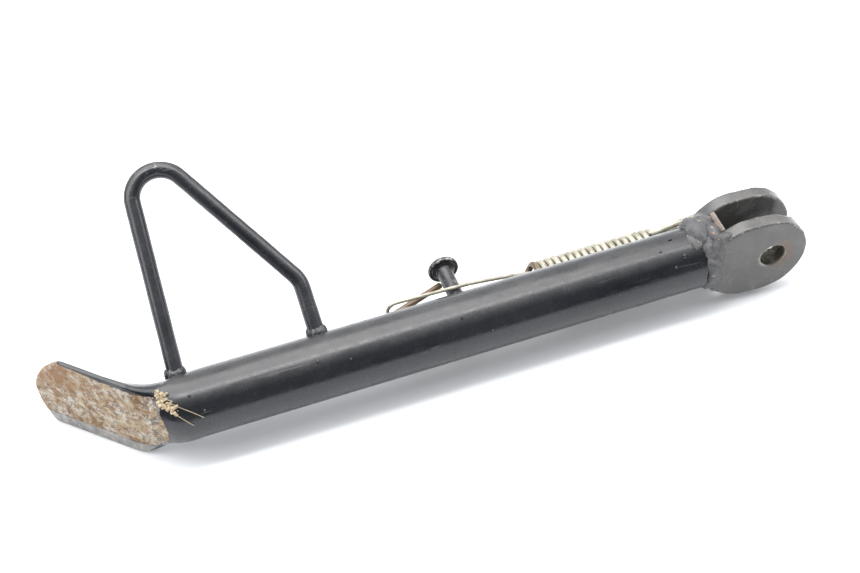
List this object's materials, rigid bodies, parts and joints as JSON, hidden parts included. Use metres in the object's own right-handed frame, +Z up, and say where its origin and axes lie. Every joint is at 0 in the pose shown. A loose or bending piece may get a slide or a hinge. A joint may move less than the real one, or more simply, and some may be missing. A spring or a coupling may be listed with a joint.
{
  "type": "motorcycle side stand",
  "caption": "Tubular side stand leg with a clevis for the pivot bolt, bent rod foot tang, spring post with two nested return springs, and a flattened angled foot.",
  "frame": {"origin": "middle of the pivot bore, on its axis, halfway between the fork's outer faces", "axes": "leg tube along -X towards the foot, spring post and foot towards +Y, tang between +Y and +Z, +Z up as the stand lies on its side; the pivot bore leans 2.6 degrees from +Y towards +X"},
  "size_m": [0.3104, 0.0894, 0.079],
  "materials": {
    "black_paint": "worn satin black paint, rust and bare steel on the sole",
    "painted_weld": "lumpy weld bead under thin black paint",
    "plated_wire": "dull zinc plated spring wire"
  },
  "bodies": {
    "leg": {"leg_tube": "black_paint", "near_ear": "black_paint", "far_ear": "black_paint", "fork_web": "black_paint", "fork_weld": "painted_weld", "fork_weld_top": "painted_weld", "tang_loop": "black_paint", "tang_weld_foot_end": "painted_weld", "tang_weld_fork_end": "painted_weld", "spring_post": "black_paint", "post_weld": "painted_weld", "weld_spatter": "painted_weld"},
    "spring": {"outer_spring_eye": "plated_wire", "outer_spring_coil": "plated_wire", "inner_spring_eye": "plated_wire", "inner_spring_coil": "plated_wire"},
    "spring_end": {"outer_spring_hook": "plated_wire", "inner_spring_hook": "plated_wire"}
  },
  "joints": [
    {"name": "spring_swing", "type": "hinge", "parent": "leg", "child": "spring", "pos_m": [-0.126, 0.0191, 0], "axis": [0, 1, 0], "range_deg": [-60, 15]},
    {"name": "spring_stretch", "type": "slide", "parent": "spring", "child": "spring_end", "axis": [1, 0, 0], "range_m": [0, 0.03], "stiffness_N_per_m": 4000, "deforming": ["outer_spring_coil", "inner_spring_coil"]}
  ]
}
